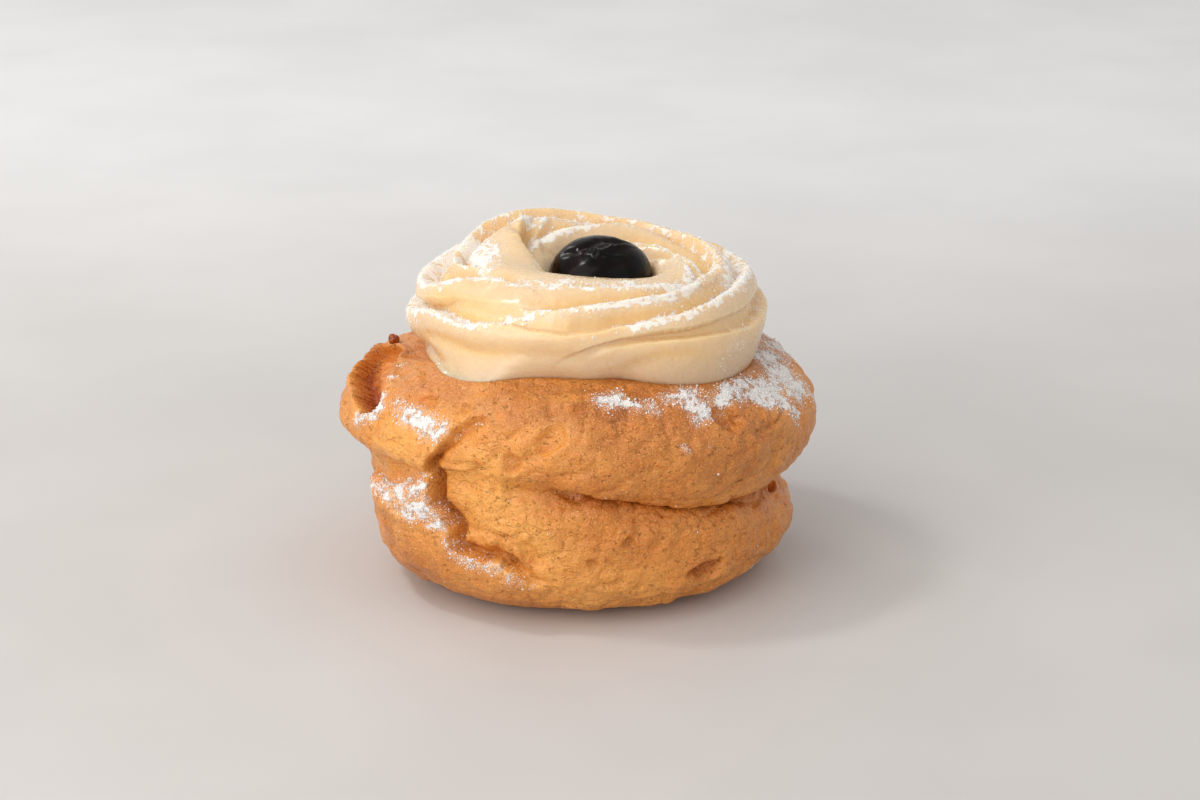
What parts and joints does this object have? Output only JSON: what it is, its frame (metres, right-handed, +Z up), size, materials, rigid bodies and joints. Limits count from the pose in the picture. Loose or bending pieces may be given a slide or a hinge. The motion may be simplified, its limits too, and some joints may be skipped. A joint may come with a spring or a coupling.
{
  "type": "zeppola",
  "caption": "Fried choux pastry ring in tiers, topped with a piped rosette of pastry cream, a dark cherry and powdered sugar",
  "frame": {"origin": "on the flat underside, below the middle of the choux ring", "axes": "+Z up, -Y towards the viewer of the picture, +X to the viewer's right"},
  "size_m": [0.0796, 0.0746, 0.0574],
  "materials": {
    "choux": "golden brown fried choux crust, matt and faintly oily, finely speckled and pitted",
    "cream": "pale yellow pastry cream, smooth and moist with a soft sheen",
    "cherry": "near-black syrup-coated sour cherry, very glossy"
  },
  "bodies": {
    "root": {"choux": "choux", "cream": "cream", "cherry": "cherry"}
  },
  "joints": []
}
